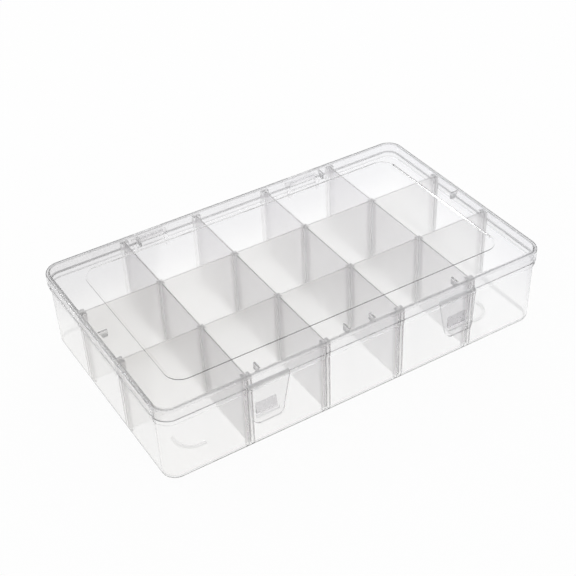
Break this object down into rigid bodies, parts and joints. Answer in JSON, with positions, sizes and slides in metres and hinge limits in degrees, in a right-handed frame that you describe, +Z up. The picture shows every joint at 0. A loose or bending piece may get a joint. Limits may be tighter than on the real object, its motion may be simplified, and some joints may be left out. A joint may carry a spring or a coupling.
{
  "type": "component storage box",
  "caption": "Flat clear plastic component storage box with a hinged lid, latch tabs on its front edge, and thin dividers that drop into slotted posts and wall channels.",
  "frame": {"origin": "middle of the box, on the surface that its feet stand on", "axes": "+X along the long side, to the right as seen from the latches; -Y towards the front with the latches; +Z up"},
  "size_m": [0.275, 0.1731, 0.0585],
  "materials": {
    "tray_plastic": "clear moulded plastic, smooth and slightly milky",
    "lid_plastic": "clear moulded plastic, smooth and slightly milky",
    "divider_plastic": "frosted translucent plastic sheet"
  },
  "bodies": {
    "base": {"base_tray": "tray_plastic", "cross_divider_1_1": "divider_plastic", "cross_divider_1_2": "divider_plastic", "cross_divider_1_3": "divider_plastic", "cross_divider_2_1": "divider_plastic", "cross_divider_2_2": "divider_plastic", "cross_divider_2_3": "divider_plastic", "cross_divider_3_1": "divider_plastic", "cross_divider_3_2": "divider_plastic", "cross_divider_3_3": "divider_plastic", "cross_divider_4_1": "divider_plastic", "cross_divider_4_2": "divider_plastic", "cross_divider_4_3": "divider_plastic", "long_divider_1_1": "divider_plastic", "long_divider_1_2": "divider_plastic", "long_divider_1_3": "divider_plastic", "long_divider_1_4": "divider_plastic", "long_divider_1_5": "divider_plastic", "long_divider_2_1": "divider_plastic", "long_divider_2_2": "divider_plastic", "long_divider_2_3": "divider_plastic", "long_divider_2_4": "divider_plastic", "long_divider_2_5": "divider_plastic"},
    "lid": {"lid": "lid_plastic"},
    "latch_left": {"latch_left": "lid_plastic"},
    "latch_right": {"latch_right": "lid_plastic"}
  },
  "joints": [
    {"name": "lid_hinge", "type": "hinge", "parent": "base", "child": "lid", "pos_m": [0, 0.085, 0.0495], "axis": [-1, 0, 0], "range_deg": [0, 180]},
    {"name": "latch_left_hinge", "type": "hinge", "parent": "lid", "child": "latch_left", "pos_m": [-0.06775, -0.0835, 0.0488], "axis": [-1, 0, 0], "range_deg": [0, 100]},
    {"name": "latch_right_hinge", "type": "hinge", "parent": "lid", "child": "latch_right", "pos_m": [0.06775, -0.0835, 0.0488], "axis": [-1, 0, 0], "range_deg": [0, 100]}
  ]
}
